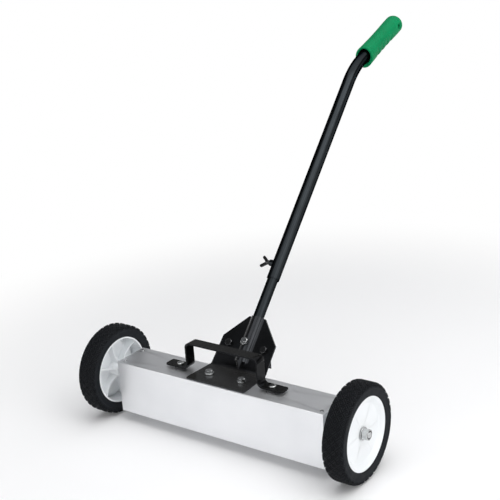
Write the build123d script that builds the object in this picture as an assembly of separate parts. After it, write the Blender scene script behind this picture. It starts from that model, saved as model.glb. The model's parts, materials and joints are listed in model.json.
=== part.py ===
from build123d import *
import math
import os

os.makedirs("parts", exist_ok=True)

# Rolling magnetic floor sweeper with a release strap and a telescopic push pole.
# X runs along the housing, Y to the back where the pole leans, Z up. Millimetres.
# The model is drawn with its origin on the floor under the middle of the wheel axis,
# and is moved at the end so that the origin is the middle of the footprint.

# Housing: an aluminium box tube closed by two end plates.
HOUSING_LENGTH = 466.0
HOUSING_DEPTH = 76.7
HOUSING_HEIGHT = 105.0
FLOOR_GAP = 22.2
SHELL_WALL = 2.5
SHELL_EDGE = 1.6
END_PLATE_WALL = 3.0
END_FLANGE_DEPTH = 20.0
END_FIT = 0.2
CORNER_SCREW_FROM_END = 9.4
CORNER_SCREW_FROM_EDGE = 12.4
CORNER_SCREW_RADIUS = 2.0
CORNER_SCREW_HEAD_RADIUS = 3.3
CORNER_SCREW_HEAD_HEIGHT = 1.3
CORNER_SCREW_TIP = 2.5

# Clearance of every bolt, screw and nut in its hole, and of nuts on their bolts.
SCREW_FIT = 0.1
# Share of a round head's height that is rounded.
HEAD_ROUND_SHARE = 0.6
# Turned-off corners of hex heads and nuts: width of the flat end as a share of the
# width across flats, and the slope of the turned faces from the flat end.
HEX_END_SHARE = 0.95
HEX_END_SLOPE = 30.0

# Wheels.
WHEEL_RADIUS = 89.0
TYRE_WIDTH = 40.7
TYRE_SHOULDER = 8.0
TYRE_BEAD = 1.5
WHEEL_GAP = 23.3
TREAD_LUGS = 36
TREAD_SLOT_WIDTH = 4.6
TREAD_SLOT_LENGTH = 15.0
TREAD_SLOT_DEPTH = 3.0
TREAD_SLOT_SKEW = 24.0
HUB_RADIUS = 66.0
HUB_INSET = 2.6
HUB_RIM_WALL = 3.0
HUB_LIP = 3.0
HUB_DISH = 8.0
HUB_DISH_WALL_DEPTH = 7.5
HUB_DISH_WALL_RUN = 9.0
HUB_WEB = 3.5
HUB_BARREL_RADIUS = 15.0
HUB_RIBS = 6
HUB_RIB_TURN = 30.0
HUB_RIB_WALL = 3.5
HUB_RIB_INSET = 3.0
HUB_RIB_SAG = 8.0
HUB_RIB_ROOT = 1.0
HUB_GROOVE_WIDTH = 2.4
HUB_GROOVE_DEPTH = 0.5
HUB_GROOVE_MARGIN = 4.0
# The wheels roll freely, and the left one has stopped turned by this angle from the right one.
LEFT_HUB_TURN = -18.0

# Stub axles.
AXLE_RADIUS = 6.0
AXLE_HEAD_FLATS = 19.0
AXLE_HEAD_HEIGHT = 7.5
AXLE_NUT_HEIGHT = 10.8
AXLE_NUT_RECESS = 2.5
AXLE_NUT_RECESS_GAP = 1.5
AXLE_TIP = 0.8
AXLE_CHAMFER = 1.0
AXLE_RUNNING_FIT = 0.06
SPACER_WALL = 4.0
SLEEVE_WALL = 2.0
SLEEVE_PROUD = 0.5
WHEEL_PLAY = 0.4
WASHER_RADIUS = 12.0
WASHER_HEIGHT = 2.0

# Pole: lean from the vertical, and where its axis meets the plane of the housing's top.
POLE_LEAN = 43.35
POLE_OVERHANG = 1.85
LOWER_TUBE_RADIUS = 10.5
LOWER_TUBE_WALL = 1.5
LOWER_TUBE_START = 16.0
LOWER_TUBE_LENGTH = 546.0
UPPER_TUBE_RADIUS = 12.5
UPPER_TUBE_START = 189.0
UPPER_TUBE_STRAIGHT = 454.0
TELESCOPE_FIT = 0.3
BEND_RADIUS = 150.0
BEND_ANGLE = 25.6
TUBE_IN_GRIP = 133.0

# Lock of the telescope: boss on the upper tube and a wing screw.
LOCK_FROM_TUBE_END = 33.0
BOSS_RADIUS = 6.5
BOSS_HEIGHT = 7.0
LOCK_SCREW_RADIUS = 3.0
LOCK_RUNNING_FIT = 0.06
LOCK_TIP_GAP = 0.15
LOCK_BOSS_GAP = 1.4
WING_HUB_RADIUS = 4.6
WING_HUB_LENGTH = 8.5
WING_REACH = 16.0
WING_SPREAD = 9.0
WING_WIDTH = 6.0
WING_THICKNESS = 3.2

# Grip: starts after the bend, GRIP_LEAD past the bend's end. It hangs GRIP_DROP below the
# tube's axis, so that it is thicker on the side of the fingers, and its mouth is cut aslant.
GRIP_LEAD = 4.0
GRIP_LENGTH = 165.4
GRIP_DROP = 1.2
GRIP_RADIUS = 20.0
GRIP_SWELL_AT = 132.0
GRIP_WAIST_RADIUS = 19.2
GRIP_WAIST_AT = 70.0
GRIP_MOUTH_RADIUS = 21.0
GRIP_MOUTH_TILT = 20.0
GRIP_MOUTH_BORE = 14.8
GRIP_MOUTH_DEPTH = 22.0
GRIP_END_ROUND = 15.0
FINGER_FIRST = 40.8
FINGER_PITCH = 20.6
FINGERS = 4
FINGER_RADIUS = 6.5
FINGER_DEPTH = 5.0
FINGER_LIFT = 3.2
HANG_HOLE_RADIUS = 5.0
HANG_HOLE_FROM_END = 22.0
HANG_SPOT_RADIUS = 7.5
HANG_SPOT_DEPTH = 2.6

# Handle bracket: base flange, bend and leaning plate, with a rib that covers the pole.
SHEET = 2.0
BRACKET_BEND = 9.0
BRACKET_FRONT_SETBACK = 3.6
BRACKET_FRONT_HALF = 66.5
BRACKET_BEND_HALF = 62.5
BRACKET_SHOULDER_HALF = 60.0
BRACKET_TOP_HALF = 18.5
BRACKET_SHOULDER_UP = 60.0
BRACKET_TOP_UP = 107.0
BRACKET_CORNER = 4.0
CLAMP_FIT = 0.05
RIB_ROOT_BEND = 5.5
RIB_RUNOUT = 15.0
RIB_NOSE_LAP = 2.0
RIB_NOSE_SINK = 0.4
BASE_BOLT_HALF_SPACING = 37.0
BASE_BOLT_RADIUS = 4.0
BASE_BOLT_FLATS = 13.0
BASE_BOLT_HEAD = 5.5
BASE_BOLT_FLANGE_RADIUS = 8.8
BASE_BOLT_FLANGE = 1.6
BASE_BOLT_TIP = 2.0
CLAMP_BOLT_HALF_SPACING = 40.0
CLAMP_BOLT_UP = 47.0
CLAMP_BOLT_RADIUS = 4.0
CLAMP_BOLT_FLATS = 13.0
CLAMP_BOLT_HEAD = 5.5
CLAMP_BOLT_TIP = 2.0
POLE_BOLT_UP = 53.0
POLE_BOLT_RADIUS = 4.0
POLE_BOLT_FLATS = 13.0
POLE_BOLT_HEAD = 5.5
POLE_BOLT_TIP = 2.0
NUT_HEIGHT = 6.5
REAR_PLATE_BEND_UP = 31.0
REAR_PLATE_DROP = 15.0
REAR_PLATE_BEND = 5.0

# Release strap, and the rods that lift the magnets.
STRAP_WIDTH = 23.0
STRAP_THICKNESS = 3.0
STRAP_LEG_HALF = 82.3
STRAP_FOOT_END = 133.0
STRAP_RISE = 55.5
STRAP_BEND = 9.0
STRAP_CORNER = 4.0
ROD_HALF_SPACING = 105.5
ROD_RADIUS = 5.0
ROD_SLIDE_FIT = 0.3
BUSH_FLANGE_RADIUS = 11.0
BUSH_FLANGE_HEIGHT = 4.3
BUSH_RADIUS = 9.0
BUSH_DROP = 10.0
STRAP_SCREW_RADIUS = 3.0
STRAP_SCREW_HEAD_RADIUS = 6.4
STRAP_SCREW_HEAD_HEIGHT = 3.2
STRAP_SCREW_DEPTH = 12.0
ROD_TAP_RUNOUT = 2.5
MAGNET_COUNT = 8
MAGNET_HEIGHT = 20.0
MAGNET_SPACE = 1.0
MAGNET_FLOOR_GAP = 0.6
YOKE_HEIGHT = 5.0
YOKE_MARGIN = 2.0
YOKE_END_GAP = 7.5
YOKE_SIDE_GAP = 3.85
ROD_NUT_FLATS = 17.0
ROD_NUT_HEIGHT = 8.0
SPRING_RADIUS = 7.2
SPRING_WIRE_RADIUS = 0.9
SPRING_TURNS = 8

# Places that follow from the sizes above.
HOUSING_TOP = FLOOR_GAP + HOUSING_HEIGHT
END_X = HOUSING_LENGTH / 2
BACK_Y = HOUSING_DEPTH / 2
INNER_BOTTOM = FLOOR_GAP + SHELL_WALL
INNER_TOP = HOUSING_TOP - SHELL_WALL
INNER_HALF = BACK_Y - SHELL_WALL
AXLE_Z = WHEEL_RADIUS
TYRE_IN = END_X + WHEEL_GAP
TYRE_OUT = TYRE_IN + TYRE_WIDTH
HUB_IN = TYRE_IN + HUB_INSET
HUB_OUT = TYRE_OUT - HUB_INSET
HUB_FACE = HUB_OUT - HUB_DISH
SLEEVE_BORE = AXLE_RADIUS + AXLE_RUNNING_FIT
SLEEVE_RADIUS = SLEEVE_BORE + SLEEVE_WALL
WASHER_X = HUB_FACE + SLEEVE_PROUD + WHEEL_PLAY
NUT_X = WASHER_X + WASHER_HEIGHT

X_DIR = Vector(1, 0, 0)
UP = Vector(0, 0, 1)
LEAN = math.radians(POLE_LEAN)
POLE_DIR = Vector(0, math.sin(LEAN), math.cos(LEAN))
POLE_FRONT = Vector(0, -math.cos(LEAN), math.sin(LEAN))
POLE_FOOT = Vector(0, BACK_Y + POLE_OVERHANG, HOUSING_TOP)
CHANNEL_RADIUS = LOWER_TUBE_RADIUS + CLAMP_FIT
RIB_RADIUS = CHANNEL_RADIUS + SHEET
UPPER_TUBE_BORE = LOWER_TUBE_RADIUS + TELESCOPE_FIT


def rod(start, direction, length, radius):
    """Round bar from a point, along a direction."""
    return extrude(Plane(origin=start, z_dir=direction) * Circle(radius), length)


def pipe(start, direction, length, radius, bore):
    """Round tube from a point, along a direction."""
    section = Circle(radius) - Circle(bore)
    return extrude(Plane(origin=start, z_dir=direction) * section, length)


def hexagon(start, direction, length, flats):
    """Hexagonal bar of a width across flats, with the corners turned off at its far end."""
    plane = Plane(origin=start, z_dir=direction)
    bar = extrude(plane * RegularPolygon(flats / 2, 6, major_radius=False), length)
    end_radius = HEX_END_SHARE * flats / 2
    start_radius = end_radius + length / math.tan(math.radians(HEX_END_SLOPE))
    turned = plane * Pos(0, 0, length / 2) * Cone(start_radius, end_radius, length)
    return bar & turned


def hex_nut(start, direction, height, flats, bore):
    """Hex nut, drawn with a plain bore."""
    return hexagon(start, direction, height, flats) - rod(start, direction, height, bore)


def on_pole(x, up, front):
    """Point at x, a distance up the pole's axis and a distance in front of it."""
    return POLE_FOOT + X_DIR * x + POLE_DIR * up + POLE_FRONT * front


def both_sides(piece):
    """The piece and its mirror image across the middle, as separate solids."""
    return Compound(children=[piece, mirror(piece, about=Plane.YZ)])


def save(name, piece):
    """Keep a finished piece under its node name."""
    pieces[name] = piece


pieces = {}

# Housing shell with its screw, bolt and bush holes.
shell = Pos(0, 0, FLOOR_GAP + HOUSING_HEIGHT / 2) * Box(HOUSING_LENGTH, HOUSING_DEPTH, HOUSING_HEIGHT)
shell = fillet(shell.edges().filter_by(Axis.X), SHELL_EDGE)
hollow = Box(HOUSING_LENGTH, 2 * INNER_HALF, INNER_TOP - INNER_BOTTOM)
shell -= Pos(0, 0, (INNER_TOP + INNER_BOTTOM) / 2) * hollow

corner_x = END_X - CORNER_SCREW_FROM_END
corner_y = BACK_Y - CORNER_SCREW_FROM_EDGE
corner_points = [(x, y) for x in (-corner_x, corner_x) for y in (-corner_y, corner_y)]
corner_hole = CORNER_SCREW_RADIUS + SCREW_FIT
for x, y in corner_points:
    shell -= rod(Vector(x, y, FLOOR_GAP), UP, HOUSING_HEIGHT, corner_hole)
for side in (-1, 1):
    base_bolt_at = Vector(side * BASE_BOLT_HALF_SPACING, 0, INNER_TOP)
    shell -= rod(base_bolt_at, UP, SHELL_WALL, BASE_BOLT_RADIUS + SCREW_FIT)
    bush_at = Vector(side * ROD_HALF_SPACING, 0, INNER_TOP)
    shell -= rod(bush_at, UP, SHELL_WALL, BUSH_RADIUS + SCREW_FIT)
save("housing_shell", shell)

# End plates: a plate with a folded flange under the top wall and one on the bottom wall.
plate_width = 2 * (INNER_HALF - END_FIT)
plate_x = END_X - END_PLATE_WALL / 2
flange_x = END_X - END_FLANGE_DEPTH / 2
end_plate = Pos(plate_x, 0, (INNER_TOP + INNER_BOTTOM) / 2) * Box(
    END_PLATE_WALL, plate_width, INNER_TOP - INNER_BOTTOM
)
flange = Box(END_FLANGE_DEPTH, plate_width, END_PLATE_WALL)
end_plate += Pos(flange_x, 0, INNER_TOP - END_PLATE_WALL / 2) * flange
end_plate += Pos(flange_x, 0, INNER_BOTTOM + END_PLATE_WALL / 2) * flange
end_plate -= rod(Vector(END_X - END_PLATE_WALL, 0, AXLE_Z), X_DIR, END_PLATE_WALL, AXLE_RADIUS + SCREW_FIT)
for x, y in corner_points:
    end_plate -= rod(Vector(x, y, FLOOR_GAP), UP, HOUSING_HEIGHT, corner_hole)
save("end_plate_right", end_plate)
save("end_plate_left", mirror(end_plate, about=Plane.YZ))

# Corner screws, four on top and four below.
corner_shank = SHELL_WALL + END_PLATE_WALL + CORNER_SCREW_TIP
corner_screws = []
for x, y in corner_points:
    for face_z, out in ((HOUSING_TOP, 1), (FLOOR_GAP, -1)):
        head = rod(Vector(x, y, face_z), UP * out, CORNER_SCREW_HEAD_HEIGHT, CORNER_SCREW_HEAD_RADIUS)
        rim = head.edges().sort_by(Axis.Z)[-1 if out > 0 else 0]
        head = fillet(rim, CORNER_SCREW_HEAD_HEIGHT * HEAD_ROUND_SHARE)
        corner_screws.append(head + rod(Vector(x, y, face_z), UP * -out, corner_shank, CORNER_SCREW_RADIUS))
save("corner_screws", Compound(children=corner_screws))

# Stub axle of the right wheel: bolt from inside the end plate, spacer, washer and nut.
head_x = END_X - END_PLATE_WALL
axle_end = NUT_X + AXLE_NUT_HEIGHT + AXLE_TIP
axle_shank = rod(Vector(head_x, 0, AXLE_Z), X_DIR, axle_end - head_x, AXLE_RADIUS)
axle_shank = chamfer(axle_shank.edges().filter_by(GeomType.CIRCLE).sort_by(Axis.X)[-1], AXLE_CHAMFER)
axle_bolt = axle_shank + hexagon(Vector(head_x, 0, AXLE_Z), X_DIR * -1, AXLE_HEAD_HEIGHT, AXLE_HEAD_FLATS)
spacer_length = HUB_IN - SLEEVE_PROUD - WHEEL_PLAY - END_X
axle_bore = AXLE_RADIUS + SCREW_FIT
axle_spacer = pipe(Vector(END_X, 0, AXLE_Z), X_DIR, spacer_length, axle_bore + SPACER_WALL, axle_bore)
axle_washer = pipe(Vector(WASHER_X, 0, AXLE_Z), X_DIR, WASHER_HEIGHT, WASHER_RADIUS, axle_bore)
axle_nut = hex_nut(Vector(NUT_X, 0, AXLE_Z), X_DIR, AXLE_NUT_HEIGHT, AXLE_HEAD_FLATS, axle_bore)
recess_at = Vector(NUT_X + AXLE_NUT_HEIGHT, 0, AXLE_Z)
axle_nut -= rod(recess_at, X_DIR * -1, AXLE_NUT_RECESS, axle_bore + AXLE_NUT_RECESS_GAP)
for name, piece in (
    ("axle_bolt", axle_bolt),
    ("axle_spacer", axle_spacer),
    ("axle_washer", axle_washer),
    ("axle_nut", axle_nut),
):
    save(name + "_right", piece)
    save(name + "_left", mirror(piece, about=Plane.YZ))

# Hub: rim, dished outer face with a steep wall, barrel for the sleeve and a hollow inner side.
rim_bore = HUB_RADIUS - HUB_RIM_WALL
dish_radius = HUB_RADIUS - HUB_LIP
floor_radius = dish_radius - HUB_DISH_WALL_RUN
floor_x = HUB_OUT - HUB_DISH_WALL_DEPTH
hub_outline = [
    (HUB_IN, HUB_RADIUS),
    (HUB_OUT, HUB_RADIUS),
    (HUB_OUT, dish_radius),
    (floor_x, floor_radius),
    (HUB_FACE, HUB_BARREL_RADIUS),
    (HUB_FACE, SLEEVE_RADIUS),
    (HUB_IN, SLEEVE_RADIUS),
    (HUB_IN, HUB_BARREL_RADIUS),
    (HUB_FACE - HUB_WEB, HUB_BARREL_RADIUS),
    (floor_x - HUB_WEB, floor_radius),
    (HUB_OUT - HUB_RIM_WALL, rim_bore),
    (HUB_IN, rim_bore),
]
# The outline is drawn in XZ about the X axis, then lifted to the axle.
hub = revolve(Plane.XZ * make_face(Polyline(*hub_outline, close=True)), Axis.X)
# Ribs on the inner side, with a hollowed edge, rooted in the barrel, the web and the rim.
rib_x = HUB_IN + HUB_RIB_INSET
rib_low = HUB_BARREL_RADIUS - HUB_RIB_ROOT
rib_high = rim_bore + HUB_RIB_ROOT
rib_roots = Polyline(
    (rib_x, rib_low),
    (HUB_FACE - HUB_WEB + HUB_RIB_ROOT, rib_low),
    (floor_x - HUB_WEB + HUB_RIB_ROOT, floor_radius),
    (HUB_OUT - HUB_RIM_WALL + HUB_RIB_ROOT, rib_high),
    (rib_x, rib_high),
)
rib_edge = ThreePointArc((rib_x, rib_high), (rib_x + HUB_RIB_SAG, (rib_low + rib_high) / 2), (rib_x, rib_low))
rib = extrude(Plane.XZ * make_face(rib_roots + rib_edge), HUB_RIB_WALL / 2, both=True)
# Shallow grooves on the dish, one over each rib.
groove_low = HUB_BARREL_RADIUS + HUB_GROOVE_MARGIN
groove_high = floor_radius - HUB_GROOVE_MARGIN
floor_slope = (floor_x - HUB_FACE) / (floor_radius - HUB_BARREL_RADIUS)
groove_low_x = HUB_FACE + floor_slope * HUB_GROOVE_MARGIN
groove_high_x = floor_x - floor_slope * HUB_GROOVE_MARGIN
groove_outline = [
    (groove_low_x - HUB_GROOVE_DEPTH, groove_low),
    (HUB_OUT, groove_low),
    (HUB_OUT, groove_high),
    (groove_high_x - HUB_GROOVE_DEPTH, groove_high),
]
groove = extrude(Plane.XZ * make_face(Polyline(*groove_outline, close=True)), HUB_GROOVE_WIDTH / 2, both=True)
for index in range(HUB_RIBS):
    turn = Rot(HUB_RIB_TURN + 360 * index / HUB_RIBS, 0, 0)
    hub += turn * rib
    hub -= turn * groove
save("hub_right", Pos(0, 0, AXLE_Z) * hub)
save("hub_left", Pos(0, 0, AXLE_Z) * Rot(LEFT_HUB_TURN, 0, 0) * mirror(hub, about=Plane.YZ))

sleeve_length = HUB_FACE - HUB_IN + 2 * SLEEVE_PROUD
sleeve = pipe(Vector(HUB_IN - SLEEVE_PROUD, 0, AXLE_Z), X_DIR, sleeve_length, SLEEVE_RADIUS, SLEEVE_BORE)
save("hub_sleeve_right", sleeve)
save("hub_sleeve_left", mirror(sleeve, about=Plane.YZ))

# Tyre: rounded section with skewed slots cut into both shoulders.
tyre_mid = (HUB_RADIUS + WHEEL_RADIUS) / 2
tyre_section = Pos((TYRE_IN + TYRE_OUT) / 2, tyre_mid) * Rectangle(TYRE_WIDTH, WHEEL_RADIUS - HUB_RADIUS)
tread_corners = tyre_section.vertices().group_by(Axis.Y)[-1]
tyre_section = fillet(tread_corners, TYRE_SHOULDER)
bead_corners = tyre_section.vertices().group_by(Axis.Y)[0]
tyre_section = fillet(bead_corners, TYRE_BEAD)
tyre = revolve(Plane.XZ * tyre_section, Axis.X)
slot = Box(TREAD_SLOT_LENGTH, TREAD_SLOT_WIDTH, 2 * TREAD_SLOT_DEPTH)
slots = []
for index in range(TREAD_LUGS):
    turn = 360 * index / TREAD_LUGS
    inner_slot = Pos(TYRE_IN, 0, WHEEL_RADIUS) * Rot(0, 0, TREAD_SLOT_SKEW) * slot
    outer_slot = Pos(TYRE_OUT, 0, WHEEL_RADIUS) * Rot(0, 0, -TREAD_SLOT_SKEW) * slot
    slots.append(Rot(turn, 0, 0) * inner_slot)
    slots.append(Rot(turn + 180 / TREAD_LUGS, 0, 0) * outer_slot)
tyre = Pos(0, 0, AXLE_Z) * (tyre - slots)
save("tyre_right", tyre)
save("tyre_left", mirror(tyre, about=Plane.YZ))

# Handle bracket: bent sheet, tapered in plan, with its shoulders cut off.
bracket_front = -BACK_Y + BRACKET_FRONT_SETBACK
plate_top = on_pole(0, BRACKET_TOP_UP, SHEET / 2)
base_z = HOUSING_TOP + SHEET / 2
# The sheet's middle plane leans parallel to the pole and meets the middle of the base flange here.
bend_up = (base_z - POLE_FOOT.Z - POLE_FRONT.Z * SHEET / 2) / POLE_DIR.Z
bend_at = on_pole(0, bend_up, SHEET / 2)
bracket_path = FilletPolyline(
    (bracket_front, base_z), (bend_at.Y, base_z), (plate_top.Y, plate_top.Z), radius=BRACKET_BEND
)
bracket = extrude(Plane.YZ * trace(bracket_path, SHEET), BRACKET_FRONT_HALF, both=True)
taper = [
    (-BRACKET_FRONT_HALF, bracket_front),
    (BRACKET_FRONT_HALF, bracket_front),
    (BRACKET_BEND_HALF, bend_at.Y),
    (BRACKET_SHOULDER_HALF, on_pole(0, BRACKET_SHOULDER_UP, 0).Y),
    (BRACKET_SHOULDER_HALF, plate_top.Y + SHEET),
    (-BRACKET_SHOULDER_HALF, plate_top.Y + SHEET),
    (-BRACKET_SHOULDER_HALF, on_pole(0, BRACKET_SHOULDER_UP, 0).Y),
    (-BRACKET_BEND_HALF, bend_at.Y),
]
taper_prism = extrude(make_face(Polyline(*taper, close=True)), plate_top.Z + 4 * SHEET)
bracket = bracket & taper_prism
# Shoulder offcuts, drawn on the leaning plate: first axis along X, second up the pole.
lean_plane = Plane(origin=POLE_FOOT, x_dir=X_DIR, z_dir=POLE_FRONT)
offcut = make_face(
    Polyline(
        (BRACKET_SHOULDER_HALF + SHEET, BRACKET_SHOULDER_UP),
        (BRACKET_SHOULDER_HALF + SHEET, BRACKET_TOP_UP + SHEET),
        (BRACKET_TOP_HALF, BRACKET_TOP_UP + SHEET),
        (BRACKET_TOP_HALF, BRACKET_TOP_UP),
        (BRACKET_SHOULDER_HALF, BRACKET_SHOULDER_UP),
        close=True,
    )
)
offcut_prism = extrude(lean_plane * offcut, 2 * SHEET, both=True)
bracket -= offcut_prism
bracket -= mirror(offcut_prism, about=Plane.YZ)
base_corners = bracket.edges().filter_by(Axis.Z).sort_by(Axis.Y)[:2]
bracket = fillet(base_corners, BRACKET_CORNER)

# The rib: a half round over the pole whose hollow roots run out on the plate, and a nose that sinks
# into the plate below. The section is drawn across the pole: first axis along X, second to the front.
rib_top = BRACKET_TOP_UP
rib_length = rib_top - LOWER_TUBE_START
rib_start = on_pole(0, LOWER_TUBE_START, 0)
rib_base = SHEET / 2
root_up = SHEET + RIB_ROOT_BEND
root_out = math.sqrt((RIB_RADIUS + RIB_ROOT_BEND) ** 2 - root_up**2)
root_angle = math.degrees(math.atan2(root_up, root_out))
rib_outline = CenterArc((root_out, root_up), RIB_ROOT_BEND, 270, root_angle - 90)
rib_outline += CenterArc((0, 0), RIB_RADIUS, root_angle, 180 - 2 * root_angle)
rib_outline += CenterArc((-root_out, root_up), RIB_ROOT_BEND, -root_angle, root_angle - 90)
rib_outline += Polyline((-root_out, SHEET), (-root_out, rib_base), (root_out, rib_base), (root_out, SHEET))
rib_section = make_face(rib_outline)
rib_plane = Plane(origin=rib_start, x_dir=X_DIR, z_dir=POLE_DIR * -1)
nose_root = Pos(0, -RIB_NOSE_SINK, -RIB_NOSE_LAP) * rib_section
nose_share = rib_base / (RIB_RADIUS - rib_base)
nose_tip = Pos(0, rib_base * (1 - nose_share), RIB_RUNOUT) * scale(rib_section, by=nose_share)
bracket += extrude(rib_plane * rib_section, -rib_length)
bracket += loft([rib_plane * nose_root, rib_plane * nose_tip])
pole_space = rod(rib_start, POLE_DIR, rib_length, CHANNEL_RADIUS)
bracket -= pole_space

# Rear clamp plate: against the back of the leaning plate, then bent down to the vertical.
rear_top = on_pole(0, BRACKET_TOP_UP, -SHEET / 2)
rear_bend = on_pole(0, REAR_PLATE_BEND_UP, -SHEET / 2)
rear_path = FilletPolyline(
    (rear_top.Y, rear_top.Z),
    (rear_bend.Y, rear_bend.Z),
    (rear_bend.Y, rear_bend.Z - REAR_PLATE_DROP),
    radius=REAR_PLATE_BEND,
)
rear_plate = extrude(Plane.YZ * trace(rear_path, SHEET), BRACKET_SHOULDER_HALF, both=True)
rear_plate -= offcut_prism
rear_plate -= mirror(offcut_prism, about=Plane.YZ)
half_sheet = lean_plane * Pos(0, rib_top / 2) * Rectangle(4 * RIB_RADIUS, 2 * rib_top)
back_half = extrude(half_sheet, -2 * RIB_RADIUS)
rear_cover_start = on_pole(0, REAR_PLATE_BEND_UP, 0)
rear_cover = rod(rear_cover_start, POLE_DIR, rib_top - REAR_PLATE_BEND_UP, RIB_RADIUS)
rear_plate += rear_cover & back_half
rear_plate -= rod(rib_start - POLE_DIR * RIB_RUNOUT, POLE_DIR, rib_length + RIB_RUNOUT, CHANNEL_RADIUS)

# Lower tube.
lower_tube = pipe(
    rib_start, POLE_DIR, LOWER_TUBE_LENGTH, LOWER_TUBE_RADIUS, LOWER_TUBE_RADIUS - LOWER_TUBE_WALL
)

# Pole bolt, from the rib's crown through the tube to the nut behind.
pole_bolt_seat = on_pole(0, POLE_BOLT_UP, RIB_RADIUS)
pole_bolt_grip = 2 * RIB_RADIUS
pole_bolt = hexagon(pole_bolt_seat, POLE_FRONT, POLE_BOLT_HEAD, POLE_BOLT_FLATS)
pole_bolt_length = pole_bolt_grip + NUT_HEIGHT + POLE_BOLT_TIP
pole_bolt += rod(pole_bolt_seat, POLE_FRONT * -1, pole_bolt_length, POLE_BOLT_RADIUS)
pole_bolt_hole = rod(
    pole_bolt_seat, POLE_FRONT * -1, pole_bolt_grip, POLE_BOLT_RADIUS + SCREW_FIT
)
pole_nut = hex_nut(
    on_pole(0, POLE_BOLT_UP, -RIB_RADIUS),
    POLE_FRONT * -1,
    NUT_HEIGHT,
    POLE_BOLT_FLATS,
    POLE_BOLT_RADIUS + SCREW_FIT,
)
bracket -= pole_bolt_hole
rear_plate -= pole_bolt_hole
lower_tube -= pole_bolt_hole
save("pole_bolt", pole_bolt)
save("pole_nut", pole_nut)
save("lower_tube", lower_tube)

# Clamp bolts through both plates, one on each side of the pole.
clamp_seat = on_pole(CLAMP_BOLT_HALF_SPACING, CLAMP_BOLT_UP, SHEET)
clamp_bolt = hexagon(clamp_seat, POLE_FRONT, CLAMP_BOLT_HEAD, CLAMP_BOLT_FLATS)
clamp_length = 2 * SHEET + NUT_HEIGHT + CLAMP_BOLT_TIP
clamp_bolt += rod(clamp_seat, POLE_FRONT * -1, clamp_length, CLAMP_BOLT_RADIUS)
clamp_nut = hex_nut(
    on_pole(CLAMP_BOLT_HALF_SPACING, CLAMP_BOLT_UP, -SHEET),
    POLE_FRONT * -1,
    NUT_HEIGHT,
    CLAMP_BOLT_FLATS,
    CLAMP_BOLT_RADIUS + SCREW_FIT,
)
clamp_hole = rod(clamp_seat, POLE_FRONT * -1, 2 * SHEET, CLAMP_BOLT_RADIUS + SCREW_FIT)
for hole in (clamp_hole, mirror(clamp_hole, about=Plane.YZ)):
    bracket -= hole
    rear_plate -= hole
save("clamp_bolts", both_sides(clamp_bolt))
save("clamp_nuts", both_sides(clamp_nut))

# Bolts of the base flange, with nuts inside the housing.
base_top = HOUSING_TOP + SHEET
base_seat = Vector(BASE_BOLT_HALF_SPACING, 0, base_top)
base_bolt = rod(base_seat, UP, BASE_BOLT_FLANGE, BASE_BOLT_FLANGE_RADIUS)
base_bolt += hexagon(base_seat, UP, BASE_BOLT_FLANGE + BASE_BOLT_HEAD, BASE_BOLT_FLATS)
base_shank = SHEET + SHELL_WALL + NUT_HEIGHT + BASE_BOLT_TIP
base_bolt += rod(base_seat, UP * -1, base_shank, BASE_BOLT_RADIUS)
base_nut = hex_nut(
    Vector(BASE_BOLT_HALF_SPACING, 0, INNER_TOP),
    UP * -1,
    NUT_HEIGHT,
    BASE_BOLT_FLATS,
    BASE_BOLT_RADIUS + SCREW_FIT,
)
base_hole = rod(base_seat, UP * -1, SHEET, BASE_BOLT_RADIUS + SCREW_FIT)
bracket -= base_hole
bracket -= mirror(base_hole, about=Plane.YZ)
save("bracket_bolts", both_sides(base_bolt))
save("bracket_nuts", both_sides(base_nut))
save("handle_bracket", bracket)
save("rear_clamp_plate", rear_plate)

# Upper tube: straight run, bend towards the horizontal, and a straight end inside the grip.
tube_end = on_pole(0, UPPER_TUBE_START, 0)
bend_start = tube_end + POLE_DIR * UPPER_TUBE_STRAIGHT
bend_centre = bend_start - POLE_FRONT * BEND_RADIUS
turn = math.radians(BEND_ANGLE)
half_turn = turn / 2
bend_middle = bend_centre + POLE_FRONT * (BEND_RADIUS * math.cos(half_turn))
bend_middle += POLE_DIR * (BEND_RADIUS * math.sin(half_turn))
bend_end = bend_centre + POLE_FRONT * (BEND_RADIUS * math.cos(turn))
bend_end += POLE_DIR * (BEND_RADIUS * math.sin(turn))
GRIP_DIR = POLE_DIR * math.cos(turn) - POLE_FRONT * math.sin(turn)
GRIP_UP = POLE_FRONT * math.cos(turn) + POLE_DIR * math.sin(turn)
grip_mouth = bend_end + GRIP_DIR * GRIP_LEAD
tube_run = Line(tube_end, bend_start)
tube_bend = ThreePointArc(bend_start, bend_middle, bend_end)
tube_lead = Line(bend_end, grip_mouth + GRIP_DIR * TUBE_IN_GRIP)
tube_section = Plane(origin=tube_end, z_dir=POLE_DIR) * (Circle(UPPER_TUBE_RADIUS) - Circle(UPPER_TUBE_BORE))
upper_tube = sweep(tube_section, path=Wire([tube_run, tube_bend, tube_lead]))

# Boss on the tube's left side, its hole, and the wing screw that presses on the lower tube.
LEFT = X_DIR * -1
lock_at = tube_end + POLE_DIR * LOCK_FROM_TUBE_END
boss_reach = UPPER_TUBE_RADIUS + BOSS_HEIGHT
lock_hole = LOCK_SCREW_RADIUS + LOCK_RUNNING_FIT
boss = rod(lock_at, LEFT, boss_reach, BOSS_RADIUS)
boss -= rod(lock_at - POLE_DIR * 2 * BOSS_RADIUS, POLE_DIR, 4 * BOSS_RADIUS, UPPER_TUBE_RADIUS)
boss -= rod(lock_at, LEFT, boss_reach, lock_hole)
upper_tube -= rod(lock_at, LEFT, UPPER_TUBE_RADIUS, lock_hole)
save("upper_tube", upper_tube)
save("tube_boss", boss)

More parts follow.
